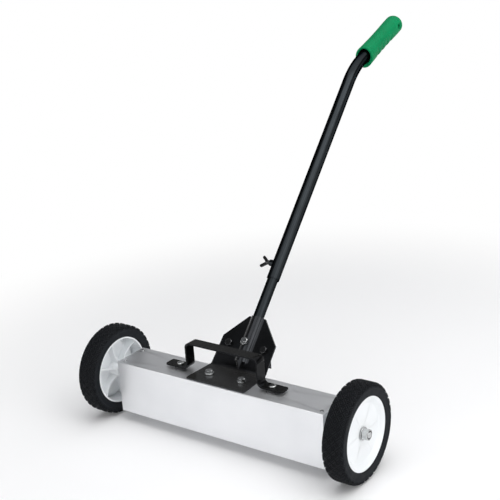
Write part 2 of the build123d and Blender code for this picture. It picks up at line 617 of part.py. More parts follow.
lock_tip = LOWER_TUBE_RADIUS + LOCK_TIP_GAP
wing_start = boss_reach + LOCK_BOSS_GAP
wing_screw = rod(lock_at + LEFT * lock_tip, LEFT, wing_start - lock_tip + WING_HUB_LENGTH, LOCK_SCREW_RADIUS)
wing_screw += rod(lock_at + LEFT * wing_start, LEFT, WING_HUB_LENGTH, WING_HUB_RADIUS)
# Wings lie in the plane of the screw and the pole: first axis out along the screw, second up the pole.
wing_plane = Plane(origin=lock_at + LEFT * wing_start, x_dir=LEFT, z_dir=LEFT.cross(POLE_DIR))
wing_root = WING_HUB_LENGTH / 2
wing_angle = math.degrees(math.atan2(WING_SPREAD, WING_REACH - wing_root))
wing_span = math.hypot(WING_SPREAD, WING_REACH - wing_root)
for side in (-1, 1):
    blade = Pos(wing_root, 0) * Rot(0, 0, side * wing_angle) * Pos(wing_span / 2, 0) * SlotCenterToCenter(
        wing_span, WING_WIDTH
    )
    wing_screw += extrude(wing_plane * blade, WING_THICKNESS / 2, both=True)
save("wing_screw", wing_screw)

# Grip: turned body with a waist and a slanted mouth, finger scallops below and a hanging hole.
grip_start = grip_mouth - GRIP_UP * GRIP_DROP
grip_axis = Axis(origin=grip_start, direction=GRIP_DIR)
grip_side = Plane(origin=grip_start, x_dir=GRIP_DIR, z_dir=X_DIR)
grip_waist = ThreePointArc(
    (0, GRIP_MOUTH_RADIUS), (GRIP_WAIST_AT, GRIP_WAIST_RADIUS), (GRIP_SWELL_AT, GRIP_RADIUS)
)
grip_ends = Polyline(
    (GRIP_SWELL_AT, GRIP_RADIUS), (GRIP_LENGTH, GRIP_RADIUS), (GRIP_LENGTH, 0), (0, 0), (0, GRIP_MOUTH_RADIUS)
)
grip = revolve(grip_side * make_face(grip_waist + grip_ends), grip_axis)
end_rim = grip.edges().filter_by(GeomType.CIRCLE).sort_by_distance(grip_mouth + GRIP_DIR * 2 * GRIP_LENGTH)[0]
grip = fillet(end_rim, GRIP_END_ROUND)
grip -= rod(grip_mouth, GRIP_DIR, TUBE_IN_GRIP, UPPER_TUBE_RADIUS)
grip -= rod(grip_mouth, GRIP_DIR, GRIP_MOUTH_DEPTH, GRIP_MOUTH_BORE)
# The slanted cut rises from the lowest point of the mouth.
mouth_low = Plane(origin=grip_start - GRIP_UP * GRIP_MOUTH_RADIUS, x_dir=GRIP_UP, z_dir=GRIP_DIR)
mouth_block = Box(4 * GRIP_MOUTH_RADIUS, 4 * GRIP_MOUTH_RADIUS, GRIP_MOUTH_RADIUS)
grip -= mouth_low * Rot(0, -GRIP_MOUTH_TILT, 0) * Pos(0, 0, -GRIP_MOUTH_RADIUS / 2) * mouth_block
# Finger scallops are cut by rings set above the grip's axis, so that they run out up its sides.
finger_ring = GRIP_RADIUS - FINGER_DEPTH + FINGER_LIFT + FINGER_RADIUS
for index in range(FINGERS):
    finger_at = grip_start + GRIP_DIR * (FINGER_FIRST + index * FINGER_PITCH) + GRIP_UP * FINGER_LIFT
    grip -= Plane(origin=finger_at, z_dir=GRIP_DIR) * Torus(finger_ring, FINGER_RADIUS)
hang_at = grip_start + GRIP_DIR * (GRIP_LENGTH - HANG_HOLE_FROM_END)
hang_half = GRIP_RADIUS - HANG_SPOT_DEPTH
grip -= rod(hang_at - X_DIR * 2 * GRIP_RADIUS, X_DIR, 4 * GRIP_RADIUS, HANG_HOLE_RADIUS)
for side in (-1, 1):
    grip -= rod(hang_at + X_DIR * side * hang_half, X_DIR * side, 2 * GRIP_RADIUS, HANG_SPOT_RADIUS)
save("grip", grip)

# Release strap: bent flat bar whose feet rest on the guide bushes.
foot_z = HOUSING_TOP + BUSH_FLANGE_HEIGHT + STRAP_THICKNESS / 2
bar_z = foot_z + STRAP_RISE - STRAP_THICKNESS
leg_x = STRAP_LEG_HALF - STRAP_THICKNESS / 2
strap_path = FilletPolyline(
    (-STRAP_FOOT_END, foot_z),
    (-leg_x, foot_z),
    (-leg_x, bar_z),
    (leg_x, bar_z),
    (leg_x, foot_z),
    (STRAP_FOOT_END, foot_z),
    radius=STRAP_BEND,
)
strap = extrude(Plane.XZ * trace(strap_path, STRAP_THICKNESS), STRAP_WIDTH / 2, both=True)
foot_corners = strap.edges().filter_by(Axis.Z).group_by(Axis.X)
strap = fillet(foot_corners[0] + foot_corners[-1], STRAP_CORNER)
foot_top = foot_z + STRAP_THICKNESS / 2
screw_seat = Vector(ROD_HALF_SPACING, 0, foot_top)
foot_hole = rod(screw_seat, UP * -1, STRAP_THICKNESS, STRAP_SCREW_RADIUS + SCREW_FIT)
strap -= foot_hole
strap -= mirror(foot_hole, about=Plane.YZ)
save("release_strap", strap)

strap_screw = rod(screw_seat, UP, STRAP_SCREW_HEAD_HEIGHT, STRAP_SCREW_HEAD_RADIUS)
screw_rim = strap_screw.edges().sort_by(Axis.Z)[-1]
strap_screw = fillet(screw_rim, STRAP_SCREW_HEAD_HEIGHT * HEAD_ROUND_SHARE)
strap_screw += rod(screw_seat, UP * -1, STRAP_THICKNESS + STRAP_SCREW_DEPTH, STRAP_SCREW_RADIUS)
save("strap_screws", both_sides(strap_screw))

# Guide bushes in the housing's top.
foot_bottom = foot_z - STRAP_THICKNESS / 2
bush = rod(Vector(ROD_HALF_SPACING, 0, HOUSING_TOP), UP, BUSH_FLANGE_HEIGHT, BUSH_FLANGE_RADIUS)
bush += rod(Vector(ROD_HALF_SPACING, 0, HOUSING_TOP), UP * -1, BUSH_DROP, BUSH_RADIUS)
bush_bottom = HOUSING_TOP - BUSH_DROP
bush -= rod(
    Vector(ROD_HALF_SPACING, 0, bush_bottom), UP, BUSH_DROP + BUSH_FLANGE_HEIGHT, ROD_RADIUS + ROD_SLIDE_FIT
)
save("rod_bushes", both_sides(bush))

# Magnet row, yoke plate, lift rods and their nuts.
magnet_z = INNER_BOTTOM + MAGNET_FLOOR_GAP
yoke_z = magnet_z + MAGNET_HEIGHT
yoke_top = yoke_z + YOKE_HEIGHT
yoke_length = 2 * (END_X - END_FLANGE_DEPTH - YOKE_END_GAP)
yoke_width = 2 * (INNER_HALF - YOKE_SIDE_GAP)
magnet_pitch = (yoke_length - 2 * YOKE_MARGIN + MAGNET_SPACE) / MAGNET_COUNT
magnet_block = Box(magnet_pitch - MAGNET_SPACE, yoke_width - 2 * YOKE_MARGIN, MAGNET_HEIGHT)
blocks = []
for index in range(MAGNET_COUNT):
    block_x = (index - (MAGNET_COUNT - 1) / 2) * magnet_pitch
    blocks.append(Pos(block_x, 0, magnet_z + MAGNET_HEIGHT / 2) * magnet_block)
save("magnet_blocks", Compound(children=blocks))

yoke = Pos(0, 0, yoke_z + YOKE_HEIGHT / 2) * Box(yoke_length, yoke_width, YOKE_HEIGHT)
rod_foot = Vector(ROD_HALF_SPACING, 0, yoke_z)
rod_hole = rod(rod_foot, UP, YOKE_HEIGHT, ROD_RADIUS + SCREW_FIT)
yoke -= rod_hole
yoke -= mirror(rod_hole, about=Plane.YZ)
save("magnet_yoke", yoke)

lift_rod = rod(rod_foot, UP, foot_bottom - yoke_z, ROD_RADIUS)
tapped_depth = STRAP_SCREW_DEPTH + ROD_TAP_RUNOUT
tapped_at = Vector(ROD_HALF_SPACING, 0, foot_bottom)
lift_rod -= rod(tapped_at, UP * -1, tapped_depth, STRAP_SCREW_RADIUS + SCREW_FIT)
save("lift_rods", both_sides(lift_rod))
rod_nut = hex_nut(
    Vector(ROD_HALF_SPACING, 0, yoke_top), UP, ROD_NUT_HEIGHT, ROD_NUT_FLATS, ROD_RADIUS + SCREW_FIT
)
save("rod_nuts", both_sides(rod_nut))

# Return springs between the rods' nuts and the guide bushes.
spring_bottom = yoke_top + ROD_NUT_HEIGHT
spring_height = bush_bottom - spring_bottom - 2 * SPRING_WIRE_RADIUS
spring_path = Helix(spring_height / SPRING_TURNS, spring_height, SPRING_RADIUS)
spring_section = Plane(origin=spring_path @ 0, z_dir=spring_path % 0) * Circle(SPRING_WIRE_RADIUS)
spring = sweep(spring_section, path=spring_path, is_frenet=True)
spring = Pos(ROD_HALF_SPACING, 0, spring_bottom + SPRING_WIRE_RADIUS) * spring
save("return_springs", both_sides(spring))

# Move the origin to the middle of the footprint, on the floor, and write each piece.
boxes = [piece.bounding_box() for piece in pieces.values()]
low_y = min(box.min.Y for box in boxes)
high_y = max(box.max.Y for box in boxes)
shift_y = -(low_y + high_y) / 2
for name, piece in pieces.items():
    export_step(Pos(0, shift_y, 0) * piece, os.path.join("parts", name + ".step"))

axle_at = Vector(0, shift_y, AXLE_Z)
lock_pivot = lock_at + Vector(0, shift_y, 0)
hang_centre = hang_at + Vector(0, shift_y, 0)
print("pieces", len(pieces))
print("axle", axle_at)
print("pole direction", POLE_DIR)
print("lock pivot", lock_pivot)
print("hanging hole", hang_centre, "length", 2 * hang_half)
print("spring top", bush_bottom)
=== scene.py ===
import json
import math

import bpy
from mathutils import Matrix, Vector


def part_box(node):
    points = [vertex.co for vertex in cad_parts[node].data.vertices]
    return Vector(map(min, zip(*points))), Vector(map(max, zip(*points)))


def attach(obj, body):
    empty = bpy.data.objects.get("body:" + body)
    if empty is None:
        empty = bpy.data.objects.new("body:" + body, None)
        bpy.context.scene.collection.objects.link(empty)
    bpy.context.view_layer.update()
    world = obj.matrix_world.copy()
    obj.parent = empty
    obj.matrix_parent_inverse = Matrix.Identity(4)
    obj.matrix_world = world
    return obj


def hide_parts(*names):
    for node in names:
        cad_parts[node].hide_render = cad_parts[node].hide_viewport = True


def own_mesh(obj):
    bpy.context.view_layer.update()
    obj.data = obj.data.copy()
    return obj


# Looks of a rolling magnetic floor sweeper. Metres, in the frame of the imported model:
# X runs along the housing, Y to the back where the pole leans, Z up from the floor.
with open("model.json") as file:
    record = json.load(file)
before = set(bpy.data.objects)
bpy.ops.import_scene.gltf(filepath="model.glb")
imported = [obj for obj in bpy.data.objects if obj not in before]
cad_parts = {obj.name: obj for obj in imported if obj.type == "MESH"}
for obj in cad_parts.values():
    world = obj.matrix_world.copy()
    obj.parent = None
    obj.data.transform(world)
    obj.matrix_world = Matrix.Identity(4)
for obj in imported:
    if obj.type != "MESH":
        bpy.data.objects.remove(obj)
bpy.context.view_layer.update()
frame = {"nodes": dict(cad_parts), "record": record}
nodes = frame["nodes"]
slot_of = {part["node"]: part["material_slot"] for part in frame["record"]["subparts"]}

MM = 0.001
BLACK = (0.0, 0.0, 0.0, 1.0)

# Camera: where it looks, from how far, and at which angles in degrees.
CAMERA_TARGET_X = 0.0754
CAMERA_TARGET_Z = 0.3870
CAMERA_DISTANCE = 1.7507
CAMERA_AZIMUTH = 36.43
CAMERA_ELEVATION = 18.22
CAMERA_ROLL = -3.77
CAMERA_LENS_MM = 73.32
CAMERA_SENSOR_MM = 36.0

# Studio: a round pale floor that fades into a white surround, under a dimmer ceiling.
FLOOR_RADIUS = 3.2
FLOOR_SIDES = 96
FLOOR_FADE_FROM = 0.45
FLOOR_FADE_TO = 1.15
FLOOR_COLOUR = (0.94, 0.94, 0.945, 1.0)
SURROUND_COLOUR = (1.0, 1.0, 1.0, 1.0)
CEILING_COLOUR = (0.12, 0.123, 0.13, 1.0)
CEILING_FROM_DEGREES = 1.0
CEILING_TO_DEGREES = 29.0

# Tyre tread: blocks on a diamond lattice with TREAD_GRID_STEPS mesh steps to one pitch. The groove
# between the blocks, the ring in each block and the rows where the tread fades out are counted in steps.
TREAD_LUGS = 34
TREAD_ROW_PITCH = 16.0 * MM
TREAD_GRID_STEPS = 16
TREAD_DEPTH = 1.8 * MM
TREAD_GROOVE_STEPS = 1
TREAD_RING_FROM = 3
TREAD_RING_TO = 4
TREAD_RING_DEPTH = 1.6 * MM
TREAD_HALF_ROWS = 26
TREAD_FADE_ROWS = 4
TYRE_SHOULDER = 8.0 * MM
TYRE_SHARP_DEGREES = 35.0

# Tyre sidewall: a ridge below the tread, then a wall that draws in towards the bead.
# Drops are measured from the tread's last row, rises from the bead, and insets from the wall's top.
RIDGE_HEIGHT = 0.7 * MM
RIDGE_EDGE_DROP = 0.9 * MM
RIDGE_FOOT_DROP = 1.5 * MM
WALL_MIDDLE_INSET = 0.3 * MM
BEAD_RADIUS = 66.0 * MM
BEAD_TOP_RISE = 2.6 * MM
BEAD_TOP_INSET = 0.6 * MM
BEAD_CORNER_RISE = 1.2 * MM
BEAD_CORNER_INSET = 1.0 * MM
BEAD_BORE_INSET = 2.2 * MM

# Grip: voxel size and smoothing that round off its moulded edges.
GRIP_VOXEL = 0.8 * MM
GRIP_SMOOTH_STEPS = 14
GRIP_SMOOTH_FACTOR = 0.5

# Rounded edges of the rigid pieces: width of the rounding by material slot.
EDGE_ROUND = {
    "satin_aluminium": 0.5 * MM,
    "black_coated_steel": 0.4 * MM,
    "black_steel": 0.4 * MM,
    "zinc": 0.35 * MM,
    "white_plastic": 0.9 * MM,
}
EDGE_ANGLE_DEGREES = 32.0
EDGE_SEGMENTS = 2
# Pieces whose long curved faces keep the normals they come with, so that reflections run straight.
UNROUNDED_NODES = ("handle_bracket", "rear_clamp_plate")
WELD_DISTANCE = 0.002 * MM

# Shading: the part of a noise's scale that is spread over a range, the cosines of a rounded normal's turn
# on a flat face and on a sharp edge, and the open share of the sky on a free face and in a corner,
# between which painted shade goes from none to full.
NOISE_LOW = 0.3
NOISE_HIGH = 0.7
EDGE_SAMPLES = 4
FLAT_COSINE = 0.99
SHARP_COSINE = 0.86
FREE_SHARE = 0.8
CORNER_SHARE = 0.4


class Finish:
    """A procedural material: one Principled shader, and detail worked out from object coordinates."""

    def __init__(self, name, **constants):
        self.material = bpy.data.materials.new(name)
        self.material.use_nodes = True
        self.tree = self.material.node_tree
        self.shader = self.tree.nodes["Principled BSDF"]
        for socket, value in constants.items():
            self.shader.inputs[socket.replace("_", " ")].default_value = value

    def node(self, kind, **settings):
        made = self.tree.nodes.new(kind)
        for name, value in settings.items():
            setattr(made, name, value)
        return made

    def link(self, output, target):
        self.tree.links.new(output, target)

    def noise(self, scale, detail=3.0, stretch=(1.0, 1.0, 1.0)):
        """Noise from 0 to 1 with features of about 1/scale metres, drawn out along axes by stretch."""
        coordinates = self.node("ShaderNodeTexCoord")
        mapping = self.node("ShaderNodeMapping")
        mapping.inputs["Scale"].default_value = stretch
        texture = self.node("ShaderNodeTexNoise")
        texture.inputs["Scale"].default_value = scale
        texture.inputs["Detail"].default_value = detail
        self.link(coordinates.outputs["Object"], mapping.inputs["Vector"])
        self.link(mapping.outputs["Vector"], texture.inputs["Vector"])
        return texture.outputs["Fac"]

    def cells(self, scale):
        """Distance inside rounded cells of about 1/scale metres, for pebbled surfaces."""
        coordinates = self.node("ShaderNodeTexCoord")
        texture = self.node("ShaderNodeTexVoronoi", feature="SMOOTH_F1")
        texture.inputs["Scale"].default_value = scale
        self.link(coordinates.outputs["Object"], texture.inputs["Vector"])
        return texture.outputs["Distance"]

    def between(self, value, low, high):
        """The noise value mapped to a range of numbers."""
        span = self.node("ShaderNodeMapRange")
        span.inputs["From Min"].default_value = NOISE_LOW
        span.inputs["From Max"].default_value = NOISE_HIGH
        span.inputs["To Min"].default_value = low
        span.inputs["To Max"].default_value = high
        self.link(value, span.inputs["Value"])
        return span.outputs["Result"]

    def tint(self, value, dark, light):
        """The noise value mapped to colours from dark to light."""
        ramp = self.node("ShaderNodeValToRGB")
        ramp.color_ramp.elements[0].position = NOISE_LOW
        ramp.color_ramp.elements[0].color = (*dark, 1.0)
        ramp.color_ramp.elements[1].position = NOISE_HIGH
        ramp.color_ramp.elements[1].color = (*light, 1.0)
        self.link(value, ramp.inputs["Fac"])
        return ramp.outputs["Color"]

    def edges(self, radius):
        """1 on sharp edges and 0 on flat faces: how far a rounded normal turns from the face's own."""
        rounded = self.node("ShaderNodeBevel", samples=EDGE_SAMPLES)
        rounded.inputs["Radius"].default_value = radius
        geometry = self.node("ShaderNodeNewGeometry")
        turn = self.node("ShaderNodeVectorMath", operation="DOT_PRODUCT")
        self.link(rounded.outputs["Normal"], turn.inputs[0])
        self.link(geometry.outputs["Normal"], turn.inputs[1])
        span = self.node("ShaderNodeMapRange")
        span.inputs["From Min"].default_value = FLAT_COSINE
        span.inputs["From Max"].default_value = SHARP_COSINE
        self.link(turn.outputs["Value"], span.inputs["Value"])
        return span.outputs["Result"]

    def painted_corner_shade(self, reach):
        """Mask for painted shade: 1 in narrow corners and 0 on open faces, from how much lies within
        reach.
        """
        shade = self.node("ShaderNodeAmbientOcclusion")
        shade.inputs["Distance"].default_value = reach
        span = self.node("ShaderNodeMapRange")
        span.inputs["From Min"].default_value = FREE_SHARE
        span.inputs["From Max"].default_value = CORNER_SHARE
        self.link(shade.outputs["AO"], span.inputs["Value"])
        return span.outputs["Result"]

    def mix(self, factor, first, second):
        """Two colours mixed by a factor. The second is a plain colour."""
        blend = self.node("ShaderNodeMix", data_type="RGBA")
        blend.inputs["B"].default_value = (*second, 1.0)
        self.link(factor, blend.inputs["Factor"])
        self.link(first, blend.inputs["A"])
        return blend.outputs["Result"]

    def colour(self, value):
        self.link(value, self.shader.inputs["Base Color"])

    def roughness(self, value):
        self.link(value, self.shader.inputs["Roughness"])

    def bump(self, height, strength, distance):
        bump = self.node("ShaderNodeBump")
        bump.inputs["Strength"].default_value = strength
        bump.inputs["Distance"].default_value = distance
        self.link(height, bump.inputs["Height"])
        self.link(bump.outputs["Normal"], self.shader.inputs["Normal"])


def aluminium():
    """Satin rolled sheet, with a fine grain along the housing and cloudy patches."""
    finish = Finish("satin_aluminium", Metallic=1.0)
    grain = finish.noise(scale=60.0, stretch=(0.2, 14.0, 14.0))
    clouds = finish.noise(scale=9.0)
    finish.colour(finish.tint(clouds, dark=(0.80, 0.81, 0.83), light=(0.86, 0.868, 0.885)))
    finish.roughness(finish.between(grain, low=0.36, high=0.46))
    finish.bump(grain, strength=0.06, distance=0.1 * MM)
    return finish.material


def powder_coat(name, dark, light, sheen):
    """Semi-gloss black powder coat: orange peel, and a thin worn line along the edges."""
    finish = Finish(
        name,
        Metallic=1.0,
        Specular_Tint=(0.85, 0.85, 0.85, 1.0),
        Sheen_Weight=sheen,
        Sheen_Roughness=0.35,
        Sheen_Tint=(0.95, 0.94, 0.92, 1.0),
    )
    peel = finish.noise(scale=700.0, detail=1.0)
    clouds = finish.noise(scale=25.0)
    coat = finish.tint(clouds, dark, light)
    finish.colour(finish.mix(finish.edges(radius=0.7 * MM), coat, second=(0.07, 0.072, 0.075)))
    finish.roughness(finish.between(clouds, low=0.15, high=0.22))
    finish.bump(peel, strength=0.12, distance=0.15 * MM)
    return finish.material


def tube_enamel():
    """Black stoved enamel on drawn tube."""
    finish = Finish("black_tube", Metallic=1.0, Specular_Tint=BLACK)
    peel = finish.noise(scale=420.0, detail=1.0)
    clouds = finish.noise(scale=30.0)
    finish.colour(finish.tint(clouds, dark=(0.0225, 0.0255, 0.028), light=(0.028, 0.032, 0.035)))
    finish.roughness(finish.between(clouds, low=0.16, high=0.22))
    finish.bump(peel, strength=0.05, distance=0.12 * MM)
    return finish.material


def black_oxide():
    """Blackened steel of the clamp bolts and the wing screw."""
    finish = Finish("black_steel", Metallic=1.0)
    speckle = finish.noise(scale=500.0)
    oxide = finish.tint(speckle, dark=(0.05, 0.051, 0.053), light=(0.075, 0.076, 0.078))
    finish.colour(finish.mix(finish.edges(radius=0.6 * MM), oxide, second=(0.22, 0.222, 0.226)))
    finish.roughness(finish.between(speckle, low=0.16, high=0.26))
    finish.bump(speckle, strength=0.08, distance=0.1 * MM)
    return finish.material


def zinc_plate():
    """Bright zinc plating with a slightly blotchy sheen, and painted shade that turns it dark in narrow
    corners.
    """
    finish = Finish("zinc", Metallic=1.0)
    blotch = finish.noise(scale=260.0)
    plating = finish.tint(blotch, dark=(0.45, 0.46, 0.465), light=(0.61, 0.62, 0.62))
    # Painted shade: the plating turns near black in narrow corners and around seated parts.
    finish.colour(finish.mix(finish.painted_corner_shade(reach=3.0 * MM), plating, second=(0.06, 0.061, 0.064)))
    finish.roughness(finish.between(blotch, low=0.12, high=0.2))
    finish.bump(blotch, strength=0.06, distance=0.1 * MM)
    return finish.material


def plain_steel():
    """Bare steel of the yoke, rods, sleeves and springs."""
    finish = Finish("bare_steel", Metallic=1.0)
    streaks = finish.noise(scale=240.0, stretch=(1.0, 1.0, 0.2))
    finish.colour(finish.tint(streaks, dark=(0.44, 0.445, 0.45), light=(0.58, 0.585, 0.59)))
    finish.roughness(finish.between(streaks, low=0.32, high=0.5))
    finish.bump(streaks, strength=0.08, distance=0.1 * MM)
    return finish.material


def hub_plastic():
    """White moulded plastic, faintly uneven."""
    finish = Finish("white_plastic", Specular_IOR_Level=0.45)
    flow = finish.noise(scale=14.0)
    skin = finish.noise(scale=900.0, detail=1.0)
    finish.colour(finish.tint(flow, dark=(0.81, 0.836, 0.855), light=(0.85, 0.868, 0.88)))
    finish.roughness(finish.between(flow, low=0.36, high=0.46))
    finish.bump(skin, strength=0.04, distance=0.1 * MM)
    return finish.material


def tyre_rubber():
    """Dull black rubber with a fine grain; edges paler from wear and a painted highlight, grooves
    darkened by painted shade.
    """
    finish = Finish("tyre_rubber", Specular_IOR_Level=0.13)
    grain = finish.noise(scale=1100.0, detail=2.0)
    dust = finish.noise(scale=70.0, detail=4.0)
    rubber = finish.tint(dust, dark=(0.0082, 0.0095, 0.0118), light=(0.012, 0.0138, 0.0168))
    # Paler edges: partly wear, partly a painted highlight standing in for glints on the tread's ridges.
    worn_and_highlit = finish.mix(finish.edges(radius=0.9 * MM), rubber, second=(0.026, 0.0285, 0.032))
    # Painted shade: the rubber turns near black deep in the grooves.
    finish.colour(finish.mix(finish.painted_corner_shade(reach=6.0 * MM), worn_and_highlit, second=(0.0008, 0.001, 0.0013)))
    finish.roughness(finish.between(dust, low=0.55, high=0.78))
    finish.bump(grain, strength=0.18, distance=0.15 * MM)
    return finish.material


def grip_rubber():
    """Green moulded rubber with a fine pebbled skin."""
    finish = Finish("green_grip", Specular_IOR_Level=0.1)
    pebbles = finish.cells(scale=900.0)
    clouds = finish.noise(scale=40.0)
    finish.colour(finish.tint(clouds, dark=(0.0008, 0.174, 0.062), light=(0.0012, 0.22, 0.081)))
    finish.roughness(finish.between(clouds, low=0.48, high=0.62))
    finish.bump(pebbles, strength=0.22, distance=0.2 * MM)
    return finish.material


def bush_plastic():
    """Black nylon of the guide bushes."""
    finish = Finish("black_plastic", Specular_IOR_Level=0.4)
    grain = finish.noise(scale=600.0)
    finish.colour(finish.tint(grain, dark=(0.012, 0.012, 0.013), light=(0.022, 0.022, 0.024)))
    finish.roughness(finish.between(grain, low=0.42, high=0.55))
    finish.bump(grain, strength=0.1, distance=0.1 * MM)
    return finish.material


def ferrite():
    """Sintered dark grey magnet material."""
    finish = Finish("ferrite", Metallic=0.3)
    speckle = finish.noise(scale=420.0, detail=5.0)
    finish.colour(finish.tint(speckle, dark=(0.045, 0.045, 0.048), light=(0.085, 0.085, 0.09)))
    finish.roughness(finish.between(speckle, low=0.55, high=0.75))
    finish.bump(speckle, strength=0.25, distance=0.15 * MM)
    return finish.material


finishes = {
    "satin_aluminium": aluminium(),
    "black_coated_steel": powder_coat(
        "black_coated_steel", dark=(0.033, 0.035, 0.038), light=(0.043, 0.045, 0.049), sheen=0.34
    ),
    "black_tube": tube_enamel(),
    "black_steel": black_oxide(),
    "zinc": zinc_plate(),
    "bare_steel": plain_steel(),
    "white_plastic": hub_plastic(),
    "tyre_rubber": tyre_rubber(),
    "green_grip": grip_rubber(),
    "black_plastic": bush_plastic(),
    "ferrite": ferrite(),
}
# The strap has the same coat as the bracket; this darker copy is painted shade that takes the strap down
# where the lamps light it more.
shaded_strap_coat = powder_coat(
    "shaded_strap_coat", dark=(0.009, 0.0094, 0.0104), light=(0.013, 0.0136, 0.0147), sheen=0.12
)


def new_piece(name, mesh, slot, body, replaced):
    """A new mesh object that rides on a body and stands for a node."""
    piece = bpy.data.objects.new(name, mesh)
    bpy.context.scene.collection.objects.link(piece)
    mesh.materials.clear()
    mesh.materials.append(finishes[slot])
    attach(piece, body)
    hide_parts(replaced)
    return piece


def tread_cut(column, row):
    """Depth of the tread below the block tops at a grid point, counted from a block's middle.

    Lines of equal depth are diamonds: a knob in the middle, a narrow ring, a wide frame and a groove.
    """
    half = TREAD_GRID_STEPS // 2
    first = (column + row) % TREAD_GRID_STEPS
    second = (column - row) % TREAD_GRID_STEPS
    reach = max(min(first, TREAD_GRID_STEPS - first), min(second, TREAD_GRID_STEPS - second))
    if reach >= half - TREAD_GROOVE_STEPS:
        return TREAD_DEPTH
    if TREAD_RING_FROM <= reach <= TREAD_RING_TO:
        return TREAD_RING_DEPTH
    return 0.0


def crown_point(offset, half_width, outer_radius):
    """Place on the smooth tyre at a distance along the section from the middle of the tread.

    Returns the axial place, the radius and the outward normal (axial, radial).
    """
    side = math.copysign(1.0, offset)
    along = abs(offset)
    flat = half_width - TYRE_SHOULDER
    quarter = TYRE_SHOULDER * math.pi / 2
    if along <= flat:
        return offset, outer_radius, (0.0, 1.0)
    if along <= flat + quarter:
        turn = (along - flat) / TYRE_SHOULDER
        axial = flat + TYRE_SHOULDER * math.sin(turn)
        radius = outer_radius - TYRE_SHOULDER * (1 - math.cos(turn))
        return side * axial, radius, (side * math.sin(turn), math.cos(turn))
    radius = outer_radius - TYRE_SHOULDER - (along - flat - quarter)
    return side * half_width, radius, (side, 0.0)


def tyre_rings(half_width, outer_radius, columns):
    """Rings of points (axial, radius) across the tread, then down one sidewall and up the other."""
    row_step = TREAD_ROW_PITCH / TREAD_GRID_STEPS
    rings = []
    for row in range(-TREAD_HALF_ROWS, TREAD_HALF_ROWS + 1):
        axial, radius, normal = crown_point(row * row_step, half_width, outer_radius)
        fade = min(1.0, (TREAD_HALF_ROWS - abs(row)) / TREAD_FADE_ROWS)
        ring = []
        for column in range(columns):
            cut = tread_cut(column, row) * fade
            ring.append((axial - normal[0] * cut, radius - normal[1] * cut))
        rings.append(ring)

    end_radius = crown_point(TREAD_HALF_ROWS * row_step, half_width, outer_radius)[1]
    wall = half_width - RIDGE_HEIGHT
    sidewall = [
        (half_width, end_radius - RIDGE_EDGE_DROP),
        (wall, end_radius - RIDGE_FOOT_DROP),
        (wall - WALL_MIDDLE_INSET, (end_radius + BEAD_RADIUS) / 2),
        (wall - BEAD_TOP_INSET, BEAD_RADIUS + BEAD_TOP_RISE),
        (wall - BEAD_CORNER_INSET, BEAD_RADIUS + BEAD_CORNER_RISE),
        (wall - BEAD_BORE_INSET, BEAD_RADIUS),
    ]
    other_sidewall = [(-axial, radius) for axial, radius in reversed(sidewall)]
    for point in sidewall + other_sidewall:
        rings.append([point] * columns)
    return rings


def tyre_faces(ring_count, columns):
    """Faces between neighbouring rings, with the tread's squares split along the diamonds' edges."""
    half = TREAD_GRID_STEPS / 2
    faces = []
    for first in range(ring_count):
        second = (first + 1) % ring_count
        row = first - TREAD_HALF_ROWS
        for column in range(columns):
            following = (column + 1) % columns
            a = first * columns + column
            b = first * columns + following
            c = second * columns + following
            d = second * columns + column
            across = abs((column + row + 1) % TREAD_GRID_STEPS - half)
            along = abs((column - row) % TREAD_GRID_STEPS - half)
            if row >= TREAD_HALF_ROWS:
                faces.append((a, b, c, d))
            elif across < along:
                faces += [(a, b, d), (b, c, d)]
            else:
                faces += [(a, b, c), (a, c, d)]
    return faces


def tyre_mesh(node):
    """Tyre with a diamond tread, ridged sidewalls and a bead, as one closed mesh."""
    low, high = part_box(node)
    centre = (low + high) / 2
    columns = TREAD_LUGS * TREAD_GRID_STEPS
    rings = tyre_rings((high.x - low.x) / 2, (high.z - low.z) / 2, columns)
    vertices = []
    for ring in rings:
        for column, (axial, radius) in enumerate(ring):
            angle = 2 * math.pi * column / columns
            y = centre.y + radius * math.sin(angle)
            z = centre.z + radius * math.cos(angle)
            vertices.append((centre.x + axial, y, z))
    mesh = bpy.data.meshes.new(node + "_tread")
    mesh.from_pydata(vertices, [], tyre_faces(len(rings), columns))
    mesh.validate()
    mesh.polygons.foreach_set("use_smooth", [True] * len(mesh.polygons))
    mesh.set_sharp_from_angle(angle=math.radians(TYRE_SHARP_DEGREES))
    return mesh


for side in ("left", "right"):
    node = "tyre_" + side
    new_piece("treaded_" + node, tyre_mesh(node), "tyre_rubber", "wheel_" + side, node)


def moulded_copy(node, voxel, steps, factor):
    """Mesh of a node with its edges melted into soft roundings, as a mould leaves them."""
    source = nodes[node].data.copy()
    worker = bpy.data.objects.new(node + "_work", source)
    bpy.context.scene.collection.objects.link(worker)
    remesh = worker.modifiers.new("remesh", "REMESH")
    remesh.mode = "VOXEL"
    remesh.voxel_size = voxel
    smooth = worker.modifiers.new("smooth", "SMOOTH")
    smooth.factor = factor
    smooth.iterations = steps
    depsgraph = bpy.context.evaluated_depsgraph_get()
    mesh = bpy.data.meshes.new_from_object(worker.evaluated_get(depsgraph))
    bpy.data.objects.remove(worker)
    mesh.polygons.foreach_set("use_smooth", [True] * len(mesh.polygons))
    return mesh


grip = moulded_copy("grip", GRIP_VOXEL, GRIP_SMOOTH_STEPS, GRIP_SMOOTH_FACTOR)
new_piece("moulded_grip", grip, "green_grip", "handle", "grip")


def shortening_springs():
    """Return springs as a piece of their own on the chassis, with their own copy of the mesh."""
    coils = nodes["return_springs"].data.copy()
    springs = new_piece("shortening_springs", coils, "bare_steel", "chassis", "return_springs")
    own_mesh(springs)


shortening_springs()


